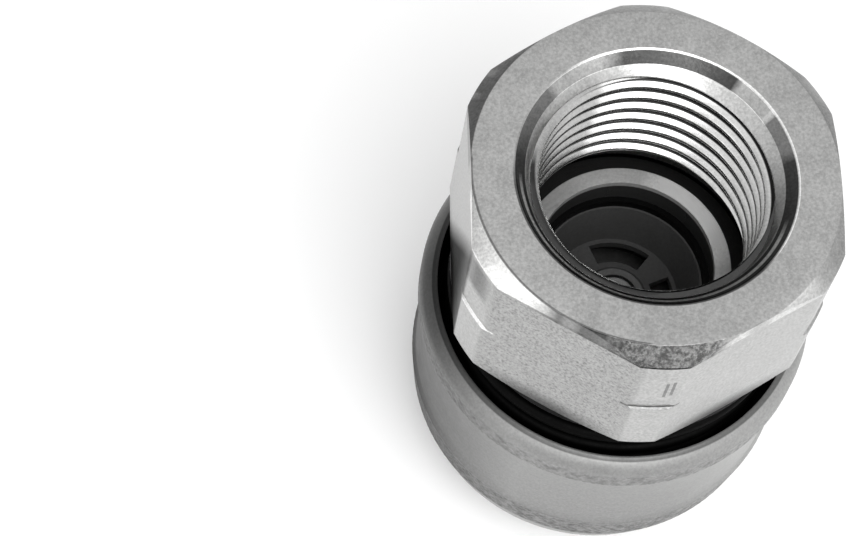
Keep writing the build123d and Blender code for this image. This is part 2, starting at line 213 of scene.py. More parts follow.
class Nodes:
    """Builder for the shader nodes of one material."""

    def __init__(self, name: str) -> None:
        """Starts an empty node material.

        Args:
            name: Name of the material.
        """
        self.material = bpy.data.materials.new(name)
        self.material.use_nodes = True
        self.tree = self.material.node_tree
        self.tree.nodes.clear()
        output = self.tree.nodes.new("ShaderNodeOutputMaterial")
        self.shader = self.tree.nodes.new("ShaderNodeBsdfPrincipled")
        self.link(self.shader.outputs["BSDF"], output.inputs["Surface"])
        self.coords = self.tree.nodes.new("ShaderNodeTexCoord").outputs["Object"]

    def link(self, source: Socket, target: Socket) -> None:
        """Joins two sockets.

        Args:
            source: Output socket.
            target: Input socket.
        """
        self.tree.links.new(source, target)

    def feed(self, sockets: bpy.types.NodeInputs, values: tuple[Socket | float, ...]) -> None:
        """Links or sets the first input sockets of a node.

        Args:
            sockets: The node's inputs.
            values: Sockets and numbers, in the order of the inputs.
        """
        for socket, value in zip(sockets, values):
            if isinstance(value, Socket):
                self.link(value, socket)
            else:
                socket.default_value = value

    def maths(self, operation: str, first: Socket | float, second: Socket | float = 0.0) -> Socket:
        """Adds a Math node.

        Args:
            operation: Blender's name of the operation.
            first: Socket or number.
            second: Socket or number.

        Returns:
            The node's output socket.
        """
        node = self.tree.nodes.new("ShaderNodeMath")
        node.operation = operation
        self.feed(node.inputs, (first, second))
        return node.outputs[0]

    def noise(self, speckle: Speckle, vector: Socket | None = None) -> Socket:
        """Adds a noise texture.

        Args:
            speckle: Scale and detail of the noise.
            vector: Coordinates in metres, or None for the object's own.

        Returns:
            The factor socket.
        """
        node = self.tree.nodes.new("ShaderNodeTexNoise")
        node.inputs["Scale"].default_value = speckle.scale
        node.inputs["Detail"].default_value = speckle.detail
        node.inputs["Roughness"].default_value = speckle.rough
        self.link(self.coords if vector is None else vector, node.inputs["Vector"])
        return node.outputs["Fac"]

    def span(self, value: Socket, low: float, high: float,
             to_low: float = 0.0, to_high: float = 1.0) -> Socket:
        """Maps a value from one span to another.

        Args:
            value: Socket that is mapped.
            low: Start of the first span.
            high: End of the first span.
            to_low: Start of the second span.
            to_high: End of the second span.

        Returns:
            The mapped value's socket.
        """
        return mapped(self.tree, value, (low, high, to_low, to_high))

    def colours(self, value: Socket, stops: tuple[tuple[float, Triple], ...]) -> Socket:
        """Adds a colour ramp.

        Args:
            value: Factor socket.
            stops: Two places with their linear colours.

        Returns:
            The colour socket.
        """
        node = self.tree.nodes.new("ShaderNodeValToRGB")
        for element, (place, colour) in zip(node.color_ramp.elements, stops):
            element.position = place
            element.color = (*colour, 1.0)
        self.link(value, node.inputs["Fac"])
        return node.outputs["Color"]

    def polar(self) -> tuple[Socket, Socket, Socket]:
        """Splits the object coordinates into radius, angle and height.

        Returns:
            Sockets for radius in metres, angle in radians and height in metres.
        """
        parts = self.tree.nodes.new("ShaderNodeSeparateXYZ")
        self.link(self.coords, parts.inputs[0])
        x, y, z = parts.outputs
        squares = self.maths("ADD", self.maths("MULTIPLY", x, x), self.maths("MULTIPLY", y, y))
        radius = self.maths("SQRT", squares)
        angle = self.maths("ARCTAN2", y, x)
        return radius, angle, z

    def vector(self, x: Socket | float, y: Socket | float, z: Socket | float) -> Socket:
        """Joins three sockets or numbers into a vector.

        Args:
            x: First part.
            y: Second part.
            z: Third part.

        Returns:
            The vector socket.
        """
        node = self.tree.nodes.new("ShaderNodeCombineXYZ")
        self.feed(node.inputs, (x, y, z))
        return node.outputs[0]

    def shaded(self, colour: Socket, mask: Socket, factor: float) -> Socket:
        """Darkens or lightens a colour where a mask is 1.

        Args:
            colour: Colour socket.
            mask: Mask socket.
            factor: Brightness of the masked part against the rest.

        Returns:
            The colour socket.
        """
        node = self.tree.nodes.new("ShaderNodeVectorMath")
        node.operation = "SCALE"
        self.link(colour, node.inputs[0])
        scale = self.maths("ADD", 1.0, self.maths("MULTIPLY", mask, factor - 1.0))
        self.link(scale, node.inputs["Scale"])
        return node.outputs["Vector"]

    def bump(self, height: Socket, distance_mm: float, under: Socket | None = None) -> Socket:
        """Adds a bump node.

        Args:
            height: Height socket.
            distance_mm: Height of the full value.
            under: Normal that this bump is laid on.

        Returns:
            The normal socket.
        """
        node = self.tree.nodes.new("ShaderNodeBump")
        node.inputs["Distance"].default_value = distance_mm * MM
        node.inputs["Strength"].default_value = 1.0
        self.link(height, node.inputs["Height"])
        if under is not None:
            self.link(under, node.inputs["Normal"])
        return node.outputs["Normal"]


@dataclass(frozen=True)
class SteelFinish:
    """A machined steel surface with tool marks and mottling.

    Attributes:
        tone: Brightness of the metal.
        grain: Direction of the tool marks.
        mottle: Spread of the tone.
        mark_depth: Depth of the tool marks in millimetres.
        mark_scale: Tool marks per metre.
        brushed: Strength of the stretched highlights round the axis.
        metallic: Share of bare metal.
        zones: Parts with another brightness, mostly painted shade and highlights.
    """

    name: str
    tone: float
    roughness: float
    grain: Grain = Grain.SATIN
    mottle: float = 0.10
    mark_depth: float = 0.012
    mark_scale: float = 5200.0
    brushed: float = 0.0
    metallic: float = 1.0
    zones: tuple[Zone, ...] = ()

    def mask(self, nodes: Nodes, zone: Zone, radius: Socket, angle: Socket, height: Socket) -> Socket:
        """Works out how far a point lies inside a zone.

        Args:
            nodes: Material under construction.
            zone: The zone.
            radius: Radius socket in metres.
            angle: Angle socket in radians.
            height: Height socket in metres.

        Returns:
            Socket that is 1 inside and 0 outside.
        """
        soft = zone.soft * MM
        inside = nodes.span(height, zone.low * MM - soft, zone.low * MM + soft)
        turned_away = None
        if zone.angle is not None:
            turned_away = nodes.maths("SUBTRACT", angle, math.radians(zone.angle))
        leaned = height
        if zone.lean and turned_away is not None:
            aside = nodes.maths("MULTIPLY", radius, nodes.maths("SINE", turned_away))
            leaned = nodes.maths("SUBTRACT", height, nodes.maths("MULTIPLY", aside, zone.lean))
        limits = ((leaned, zone.high, False), (radius, zone.inner, True), (radius, zone.outer, False))
        for value, limit, rising in limits:
            first, last = (0.0, 1.0) if rising else (1.0, 0.0)
            step = nodes.span(value, limit * MM - soft, limit * MM + soft, first, last)
            inside = nodes.maths("MULTIPLY", inside, step)
        if turned_away is not None:
            facing = nodes.maths("COSINE", turned_away)
            edge = math.cos(math.radians(zone.half_angle))
            sector = nodes.span(facing, edge - zone.feather, edge + zone.feather)
            inside = nodes.maths("MULTIPLY", inside, sector)
        if zone.wear in WEAR_SPECKLE:
            speckle = WEAR_SPECKLE[zone.wear]
            broken = nodes.span(nodes.noise(speckle), speckle.low, speckle.high, speckle.floor)
            inside = nodes.maths("MULTIPLY", inside, broken)
        return inside

    def marks(self, nodes: Nodes, radius: Socket, angle: Socket, height: Socket) -> Socket:
        """Lays out the fine tool marks.

        Args:
            nodes: Material under construction.
            radius: Radius socket in metres.
            angle: Angle socket in radians.
            height: Height socket in metres.

        Returns:
            Height socket of the marks.
        """
        if self.grain in GRAIN_SPECKLE:
            return nodes.noise(GRAIN_SPECKLE[self.grain])
        along = nodes.maths("MULTIPLY", angle, MARK_ANGLE_SCALE)
        if self.grain is Grain.TURNED:
            place = nodes.vector(along, 0.0, height)
        else:
            place = nodes.vector(along, radius, 0.0)
        return nodes.noise(Speckle(self.mark_scale, 3.0, 0.6), place)

    def make(self) -> Material:
        """Builds the node material.

        Returns:
            The material.
        """
        nodes = Nodes(self.name)
        radius, angle, height = nodes.polar()
        cloud = nodes.noise(CLOUD_SPECKLE)
        speck = nodes.noise(FINE_SPECKLE)
        marks = self.marks(nodes, radius, angle, height)
        light = min(1.0, self.tone * (1.0 + self.mottle))
        dark = self.tone * (1.0 - self.mottle)
        clouds = nodes.maths("MULTIPLY", cloud, CLOUD_SHARE)
        mix = nodes.maths("ADD", clouds, nodes.maths("MULTIPLY", speck, 1.0 - CLOUD_SHARE))
        darkest = (DARKEST, (dark, dark, dark * STEEL_BLUE))
        brightest = (BRIGHTEST, (light, light, light * STEEL_BLUE))
        colour = nodes.colours(mix, (darkest, brightest))
        painted_shade_tint = None
        chipped = None
        # Zones paint shade, highlights and reflections into the colour, besides a few real wear marks and
        # scratches; deep painted shade also dims the specular tint
        for zone in self.zones:
            inside = self.mask(nodes, zone, radius, angle, height)
            colour = nodes.shaded(colour, inside, zone.factor)
            if zone.factor < DEEP_SHADE:
                if painted_shade_tint is None:
                    painted_shade_tint = nodes.vector(1.0, 1.0, 1.0)
                painted_shade_tint = nodes.shaded(painted_shade_tint, inside, zone.factor)
            if zone.wear is Wear.CHIPPED:
                chipped = inside
        shader = nodes.shader
        nodes.link(colour, shader.inputs["Base Color"])
        if painted_shade_tint is not None:
            nodes.link(painted_shade_tint, shader.inputs["Specular Tint"])
        shader.inputs["Metallic"].default_value = self.metallic
        if self.brushed > 0.0:
            shader.inputs["Anisotropic"].default_value = self.brushed
            tangent = nodes.tree.nodes.new("ShaderNodeTangent")
            tangent.direction_type = "RADIAL"
            tangent.axis = "Z"
            nodes.link(tangent.outputs["Tangent"], shader.inputs["Tangent"])
        lines = nodes.maths("MULTIPLY", marks, 1.0 - CLOUD_ROUGHNESS)
        uneven = nodes.maths("ADD", nodes.maths("MULTIPLY", cloud, CLOUD_ROUGHNESS), lines)
        spread = nodes.span(uneven, *NOISE_MIDDLE, *(self.roughness * part for part in STEEL_SPREAD))
        nodes.link(spread, shader.inputs["Roughness"])
        normal = nodes.bump(marks, self.mark_depth)
        if chipped is not None:
            chips = nodes.maths("MULTIPLY", nodes.noise(CHIP_SPECKLE), chipped)
            normal = nodes.bump(chips, CHIP_DEPTH, normal)
        nodes.link(normal, shader.inputs["Normal"])
        return nodes.material


@dataclass(frozen=True)
class SealFinish:
    """Moulded rubber or cut polymer of a sealing ring."""

    name: str
    colour: Triple
    roughness: float

    def make(self) -> Material:
        """Builds the node material.

        Returns:
            The material.
        """
        nodes = Nodes(self.name)
        grain = nodes.noise(SEAL_SPECKLE)
        tones = (tuple(part * c for c in self.colour) for part in SEAL_TONES)
        colour = nodes.colours(grain, tuple(zip(NOISE_MIDDLE, tones)))
        nodes.link(colour, nodes.shader.inputs["Base Color"])
        spread = nodes.span(grain, *NOISE_MIDDLE, *(self.roughness * part for part in SEAL_SPREAD))
        nodes.link(spread, nodes.shader.inputs["Roughness"])
        nodes.link(nodes.bump(grain, SEAL_GRAIN_DEPTH), nodes.shader.inputs["Normal"])
        return nodes.material


def add_object(name: str, data: bpy.types.ID) -> bpy.types.Object:
    """Puts new data into the scene as an object.

    Args:
        name: Name of the object.
        data: Mesh, lamp or camera.

    Returns:
        The object.
    """
    shown = bpy.data.objects.new(name, data)
    bpy.context.scene.collection.objects.link(shown)
    return shown


@dataclass
class Piece:
    """One finished mesh piece and what it stands for."""

    name: str
    node: str
    body: str
    slot: str
    material: Material

    def finish(self, mesh: BMesh, smooth_angle: float) -> bpy.types.Object:
        """Turns a mesh in millimetres into the shown object, in the place of its node.

        Args:
            mesh: Mesh in millimetres, freed here.
            smooth_angle: Edges sharper than this, in degrees, stay crisp.

        Returns:
            The object.
        """
        bmesh.ops.scale(mesh, vec=(MM, MM, MM), verts=mesh.verts)
        bmesh.ops.remove_doubles(mesh, verts=mesh.verts, dist=1e-7)
        bmesh.ops.recalc_face_normals(mesh, faces=mesh.faces)
        data = bpy.data.meshes.new(self.name)
        mesh.to_mesh(data)
        mesh.free()
        data.polygons.foreach_set("use_smooth", [True] * len(data.polygons))
        data.set_sharp_from_angle(angle=math.radians(smooth_angle))
        data.materials.append(self.material)
        shown = add_object(self.name, data)
        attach(shown, self.body)
        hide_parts(self.node)
        log.info("%s: %d faces, rides on %s", self.name, len(data.polygons), self.body)
        return shown


def turned(profile: Profile, steps: int) -> BMesh:
    """Spins a closed profile round the flow axis.

    Args:
        profile: Radius and height of each corner, in millimetres.
        steps: Steps of the full turn.

    Returns:
        The mesh in millimetres.
    """
    mesh = bmesh.new()
    corners = [mesh.verts.new((radius, 0.0, height)) for radius, height in profile]
    for first, second in zip(corners, corners[1:] + corners[:1]):
        mesh.edges.new((first, second))
    sectors = math.gcd(steps, MOST_SECTORS)
    bmesh.ops.spin(mesh, geom=mesh.verts[:] + mesh.edges[:], cent=(0, 0, 0), axis=(0, 0, 1),
                   angle=math.tau / sectors, steps=steps // sectors, use_merge=False)
    sector = mesh.verts[:] + mesh.edges[:] + mesh.faces[:]
    for number in range(1, sectors):
        copied = bmesh.ops.duplicate(mesh, geom=sector)["geom"]
        bmesh.ops.rotate(mesh, cent=(0, 0, 0), matrix=Matrix.Rotation(math.tau * number / sectors, 3, "Z"),
                         verts=[v for v in copied if isinstance(v, BMVert)])
    bmesh.ops.remove_doubles(mesh, verts=mesh.verts, dist=1e-4)
    bmesh.ops.recalc_face_normals(mesh, faces=mesh.faces)
    return mesh


def coiled(section: Profile, turns: float, pitch: float, steps_per_turn: int) -> BMesh:
    """Winds a closed section into a right-handed helix.

    Args:
        section: Corners of the section at the helix's start, in millimetres.
        turns: Number of turns.
        pitch: Rise of one turn.
        steps_per_turn: Steps of one turn.

    Returns:
        The closed mesh in millimetres.
    """
    mesh = bmesh.new()
    corners = [mesh.verts.new((radius, 0.0, height)) for radius, height in section]
    face = mesh.faces.new(corners)
    steps = max(1, round(turns * steps_per_turn))
    bmesh.ops.spin(mesh, geom=[face], cent=(0, 0, 0), axis=(0, 0, 1), dvec=(0, 0, turns * pitch / steps),
                   angle=math.tau * turns, steps=steps, use_merge=False)
    bmesh.ops.remove_doubles(mesh, verts=mesh.verts, dist=1e-5)
    bmesh.ops.recalc_face_normals(mesh, faces=mesh.faces)
    return mesh


def cut_level(mesh: BMesh, height: float, side: int) -> None:
    """Cuts a closed mesh at a height, in place, and closes the cut.

    Args:
        mesh: Closed mesh.
        height: Height of the cut.
        side: 1 keeps what is above the cut, -1 what is below it.
    """
    cut = bmesh.ops.bisect_plane(mesh, geom=mesh.verts[:] + mesh.edges[:] + mesh.faces[:],
                                 plane_co=(0, 0, height), plane_no=(0, 0, side), clear_inner=True)
    rim = [e for e in cut["geom_cut"] if isinstance(e, BMEdge)]
    bmesh.ops.contextual_create(mesh, geom=rim)


def move_to_radius(vert: BMVert, radius: float, wanted: float) -> None:
    """Moves a corner straight towards or away from the axis.

    Args:
        vert: Corner that is moved.
        radius: Its distance from the axis.
        wanted: Its new distance from the axis.
    """
    vert.co.x *= wanted / radius
    vert.co.y *= wanted / radius


def wire_section(radius: float, height: float, size: float, count: int) -> Profile:
    """Round section of a wire.

    Args:
        radius: Distance of the section's middle from the axis.
        height: Height of the section's middle.
        size: Radius of the wire.
        count: Number of corners.

    Returns:
        Corners of the section.
    """
    angles = [math.tau * i / count for i in range(count)]
    return [(radius + size * math.cos(a), height + size * math.sin(a)) for a in angles]


def shared_volume(base: BMesh, tool: BMesh) -> BMesh:
    """Intersects two closed meshes and frees both.

    Args:
        base: First mesh.
        tool: Second mesh.

    Returns:
        The mesh of what both have in common.
    """
    holders = []
    for source in (base, tool):
        data = bpy.data.meshes.new("work")
        source.to_mesh(data)
        source.free()
        holders.append(add_object("work", data))
    cut = holders[0].modifiers.new("cut", "BOOLEAN")
    cut.operation = "INTERSECT"
    cut.solver = "EXACT"
    cut.object = holders[1]
    graph = bpy.context.evaluated_depsgraph_get()
    data = bpy.data.meshes.new_from_object(holders[0].evaluated_get(graph))
    result = bmesh.new()
    result.from_mesh(data)
    for holder in holders:
        held = holder.data
        bpy.data.objects.remove(holder)
        bpy.data.meshes.remove(held)
    bpy.data.meshes.remove(data)
    return result


@dataclass
class PortBody:
    """Hexagon with the female port, in millimetres from the nose."""

    top: float = 47.0
    half_flats: float = 15.0
    corner_radius: float = 16.3
    lower_corner_radius: float = 16.5
    chamfer_depth: float = 1.7
    chamfer_lean: float = 0.6
    step_height: float = 37.6
    step_fall: float = 0.15
    corner_end: float = 30.4
    underside: float = 29.5
    skirt_radius: float = 13.4
    skirt_bottom: float = 23.6
    joint_radius: float = 11.04
    joint_bevel: float = 0.1
    mouth_radius: float = 11.58
    mouth_depth: float = 0.92
    mouth_shelf: float = 0.04
    lip_radius: float = 9.82
    lip_height: float = 45.42
    lip_depth: float = 0.28
    lip_edge_width: float = 0.05
    lip_edge_rise: float = 0.06
    lip_edge_fall: float = 0.02
    lip_runout: float = 0.28
    lip_growth: float = 0.42
    growth_side: tuple[float, float] = (0.866, 0.5)
    slack: float = 0.01
    outline_steps: int = 288
    hexagon_spare: float = 2.0
    broken_edge: float = 0.07
    broken_angle: float = 13.0
    weld: float = 2e-3
    thread_root: float = 10.48
    thread_crest: float = 9.32
    thread_end: float = 33.24
    pitch: float = 1.814
    crest_height: float = 32.93
    half_crest: float = 0.14
    half_root: float = 0.75
    crest_round: float = 0.07
    round_inside: float = 0.05
    round_outside: float = 0.04
    root_overlap: float = 0.1
    root_sink: float = 0.05
    end_cut: float = 0.05
    lip_cut: float = 0.06
    lead_in: float = 0.5
    overrun: float = 0.9
    thread_steps: int = 144

    def outline(self) -> BMesh:
        """Turned outline of the port body, with the bore.

        Returns:
            The mesh.
        """
        rim = self.top - self.chamfer_depth
        mesh = turned([
            (self.joint_radius, self.skirt_bottom),
            (self.skirt_radius, self.skirt_bottom),
            (self.skirt_radius, self.underside),
            (self.half_flats, self.underside),
            (self.lower_corner_radius, self.corner_end),
            (self.lower_corner_radius, self.step_height - self.step_fall),
            (self.corner_radius, self.step_height),
            (self.corner_radius, rim),
            (self.half_flats, self.top),
            (self.mouth_radius, self.top),
            (self.thread_root + self.mouth_shelf, self.top - self.mouth_depth),
            (self.lip_radius + self.lip_edge_width, self.lip_height + self.lip_edge_rise),
            (self.lip_radius, self.lip_height - self.lip_edge_fall),
            (self.thread_root, self.lip_height - self.lip_depth),
            (self.thread_root, self.thread_end),
            (self.joint_radius - self.joint_bevel, self.thread_end),
            (self.joint_radius, self.thread_end - self.joint_bevel),
        ], self.outline_steps)
        for vert in mesh.verts:
            radius = math.hypot(vert.co.x, vert.co.y)
            # The face chamfer has its full depth at the front corner and is shallower at the others
            if abs(vert.co.z - rim) < self.slack and radius > self.half_flats:
                vert.co.z += self.chamfer_lean * min(1.0, 2.0 * (1.0 + vert.co.y / self.corner_radius))
            # The lip runs out round the port as the last thread turn does
            at_lip = abs(vert.co.z - self.lip_height) < self.lip_edge_rise + self.slack
            if at_lip and radius < self.lip_radius + self.lip_edge_width + self.slack:
                self.open_lip(vert, radius)
        return mesh

    def open_lip(self, vert: BMVert, radius: float) -> None:
        """Widens the lip's opening towards the camera and narrows it at the right.

        Args:
            vert: Corner of the lip.
            radius: Its distance from the axis.
        """
        side_x, side_y = self.growth_side
        right = max(0.0, (side_x * vert.co.x + side_y * vert.co.y) / radius)
        runout = self.lip_runout * (1.0 - vert.co.y / radius)
        move_to_radius(vert, radius, radius + runout - self.lip_growth * right ** 2)

    def hexagon(self) -> BMesh:
        """Plain hexagonal bar longer than the body.

        Returns:
            The mesh.
        """
        mesh = bmesh.new()
        corner = self.half_flats / math.cos(math.pi / 6)
        bmesh.ops.create_circle(mesh, cap_ends=True, segments=6, radius=corner)
        bmesh.ops.translate(mesh, vec=(0, 0, self.skirt_bottom - self.hexagon_spare), verts=mesh.verts)
        end = bmesh.ops.extrude_face_region(mesh, geom=mesh.faces[:])
        raised = [v for v in end["geom"] if isinstance(v, BMVert)]
        length = self.top - self.skirt_bottom + 2 * self.hexagon_spare
        bmesh.ops.translate(mesh, vec=(0, 0, length), verts=raised)
        bmesh.ops.recalc_face_normals(mesh, faces=mesh.faces)
        return mesh

    def thread(self) -> BMesh:
        """Helical ridge of the female thread, ended under the lip of the mouth.

        Returns:
            The mesh.
        """
        low = self.crest_height
        sunk = self.thread_root + self.root_overlap
        rounded = self.thread_crest + self.crest_round
        lower_half = [
            (sunk, self.half_root),
            (self.thread_root, self.half_root),
            (rounded, self.half_crest + self.round_outside),
            (self.thread_crest, self.half_crest - self.round_inside),
        ]
        section = [(r, low - z) for r, z in lower_half] + [(r, low + z) for r, z in reversed(lower_half)]
        turns = (self.top - self.mouth_depth - low + self.overrun) / self.pitch
        mesh = coiled(section, turns, self.pitch, self.thread_steps)
        for vert in mesh.verts:
            radius = math.hypot(vert.co.x, vert.co.y)
            allowed = self.thread_crest + max(0.0, vert.co.z - (self.lip_height - self.lead_in))
            if radius < allowed and radius < self.thread_root:
                move_to_radius(vert, radius, min(allowed, self.thread_root + self.root_sink))
        cut_level(mesh, self.thread_end + self.end_cut, side=1)
        cut_level(mesh, self.lip_height - self.lip_cut, side=-1)
        return mesh

    def build(self, steel: Material, thread_steel: Material) -> None:
        """Builds the hexagon and its thread.

        Args:
            steel: Material of the hexagon.
            thread_steel: Material of the thread.
        """
        solid = shared_volume(self.outline(), self.hexagon())
        bmesh.ops.remove_doubles(solid, verts=solid.verts, dist=self.weld)
        bmesh.ops.dissolve_degenerate(solid, edges=solid.edges, dist=self.weld)
        least = math.radians(self.broken_angle)
        sharp = [e for e in solid.edges if e.is_manifold and e.calc_face_angle(0.0) > least]
        bmesh.ops.bevel(solid, geom=sharp, offset=self.broken_edge, offset_type="OFFSET", segments=2,
                        profile=0.5, affect="EDGES", clamp_overlap=True, material=-1)
        shell = Piece("port_body_shell", "port_body", "coupler_body", "port_body_steel", steel)
        shell.finish(solid, smooth_angle=14.0)
        ridge = Piece("port_thread", "port_body", "coupler_body", "port_body_steel", thread_steel)
        ridge.finish(self.thread(), smooth_angle=40.0)


@dataclass
class ReleaseSleeve:
    """Sliding sleeve with two gripping bands, in millimetres from the nose."""

    front: float = 4.5
    rear: float = 25.25
    outer: float = 17.2
    front_top_radius: float = 16.85
    front_bottom_radius: float = 16.43
    front_radius: float = 15.4
    front_edge: float = 0.2
    taper_edge: float = 0.1
    rear_edge: float = 15.96
    rear_edge_inside: float = 0.05
    rear_edge_round: float = 0.06
    rear_bevel_drop: float = 1.33
    rear_bevel_swell: float = 0.07
    rear_bevel_parts: int = 8
    rear_band: float = 2.0
    rear_band_rows: int = 12
    front_band_bottom: float = 7.66
    front_band: float = 3.7
    front_band_rows: int = 26
    waist_depth: float = 0.22
    waist_hollow: float = 0.28
    waist_wall: float = 0.3
    waist_parts: int = 20
    front_bore: float = 14.45
    land: float = 13.46
    land_bottom: float = 7.1
    land_cone: float = 0.86
    land_cone_top: float = 10.2
    land_top: float = 14.6
    rear_bore: float = 15.76
    knurl_count: int = 132
    knurl_depth: float = 0.06
    knurl_reach: float = 0.25
    knurl_fade: float = 0.3
    knurl_least: float = 0.25
    steps: int = 1056

    @property
    def bevel_end(self) -> float:
        """Height at which the rear bevel ends and the rear band starts."""
        return self.rear - self.rear_bevel_drop

    @property
    def waist_top(self) -> float:
        """Height at which the rear band ends."""
        return self.bevel_end - self.rear_band

    @property
    def waist_bottom(self) -> float:
        """Height at which the front band starts."""
        return self.front_band_bottom + self.front_band

    def rear_profile(self) -> Profile:
        """Rear edge with its swelling bevel, down to the rear band's lower end.

        Returns:
            The profile's corners.
        """
        corners = [
            (self.rear_bore, self.rear),
            (self.rear_edge - self.rear_edge_inside, self.rear),
            (self.rear_edge + self.rear_edge_round, self.rear - self.rear_edge_round),
        ]
        for i in range(1, self.rear_bevel_parts):
            part = i / self.rear_bevel_parts
            swell = self.rear_bevel_swell * math.sin(math.pi * part)
            corners.append((self.rear_edge + (self.outer - self.rear_edge) * part + swell,
                            self.rear - self.rear_bevel_drop * part + swell))
        rows = self.rear_band_rows
        corners += [(self.outer, self.bevel_end - self.rear_band * i / rows) for i in range(rows + 1)]
        return corners

    def waist_profile(self) -> Profile:
        """Hollow stretch between the bands.

        Returns:
            The profile's corners.
        """
        middle = (self.waist_top + self.waist_bottom) / 2
        half = (self.waist_top - self.waist_bottom) / 2
        widening = self.outer - self.front_top_radius
        corners = []
        for i in range(self.waist_parts + 1):
            height = self.waist_top - self.waist_wall - 2 * (half - self.waist_wall) * i / self.waist_parts
            hollow = 1.0 - ((height - middle) / half) ** 2
            straight = self.front_top_radius + widening * (height - self.waist_bottom) / (2 * half)
            corners.append((straight - self.waist_depth - self.waist_hollow * hollow, height))
        return corners

    def front_profile(self) -> Profile:
        """Front band, nose and bores, back to the rear bore.

        Returns:
            The profile's corners.
        """
        rows = self.front_band_rows
        fall = self.front_top_radius - self.front_bottom_radius
        corners = [(self.front_top_radius - fall * i / rows, self.waist_bottom - self.front_band * i / rows)
                   for i in range(rows + 1)]
        corners += [
            (self.front_radius + self.taper_edge, self.front + self.front_edge),
            (self.front_radius - self.taper_edge, self.front),
            (self.front_bore + self.front_edge, self.front),
            (self.front_bore, self.front + self.front_edge),
            (self.front_bore, self.land_bottom),
            (self.land + self.land_cone, self.land_bottom),
            (self.land, self.land_cone_top),
            (self.land, self.land_top),
            (self.rear_bore, self.land_top),
        ]
        return corners

    def knurl(self, mesh: BMesh) -> None:
        """Presses the diamond pattern into both bands.

        Args:
            mesh: The turned sleeve.
        """
        bands = [(self.waist_top, self.bevel_end), (self.front_band_bottom, self.waist_bottom)]
        lead = self.knurl_count / self.outer
        for vert in mesh.verts:
            radius = math.hypot(vert.co.x, vert.co.y)
            if radius < self.front_bottom_radius - self.knurl_reach:
                continue
            for low, high in bands:
                if low - 1e-4 <= vert.co.z <= high + 1e-4:
                    around = self.knurl_count * math.atan2(vert.co.y, vert.co.x)
                    along = lead * vert.co.z
                    first = abs(math.sin(0.5 * (around + along)))
                    second = abs(math.sin(0.5 * (around - along)))
                    cut = (1.0 - min(first, second)) ** 2
                    fade = min(1.0, min(vert.co.z - low, high - vert.co.z) / self.knurl_fade)
                    depth = self.knurl_depth * cut * max(self.knurl_least, fade)
                    move_to_radius(vert, radius, radius - depth)

    def build(self, steel: Material) -> None:
        """Builds the sleeve.

        Args:
            steel: Material of the sleeve.
        """
        profile = self.rear_profile() + self.waist_profile() + self.front_profile()
        mesh = turned(profile, self.steps)
        self.knurl(mesh)
        shell = Piece("release_sleeve_shell", "release_sleeve", "sleeve", "sleeve_steel", steel)
        shell.finish(mesh, smooth_angle=38.0)


@dataclass(frozen=True)
class Coil:
    """A round-wire compression spring, in millimetres from the nose."""

    name: str
    node: str
    slot: str
    wire: float
    mean_radius: float
    bottom: float
    top: float
    turns: float
    joint: str
    travel: float
    wire_sides: int = 16
    steps_per_turn: int = 72

    def build(self, steel: Material) -> None:
        """Builds the spring between its two seats.

        Args:
            steel: Material of the wire.
        """
        height = self.top - self.bottom - 2 * self.wire
        section = wire_section(self.mean_radius, self.bottom + self.wire, self.wire, self.wire_sides)
        mesh = coiled(section, self.turns, height / self.turns, self.steps_per_turn)
        piece = Piece(self.name, self.node, "coupler_body", self.slot, steel)
        shown = piece.finish(mesh, smooth_angle=60.0)
        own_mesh(shown)


@dataclass(frozen=True)
class SoftBox:
    """Bright patch of the studio sky, with the cosines at which its glow starts and is full."""

    direction: Triple
    start: float
    full: float
    gain: float


@dataclass(frozen=True)
class Lamp:
    """Soft round lamp, with its place and width in millimetres and its power in watts."""

    name: str
    place: Triple
    width: float
    power: float


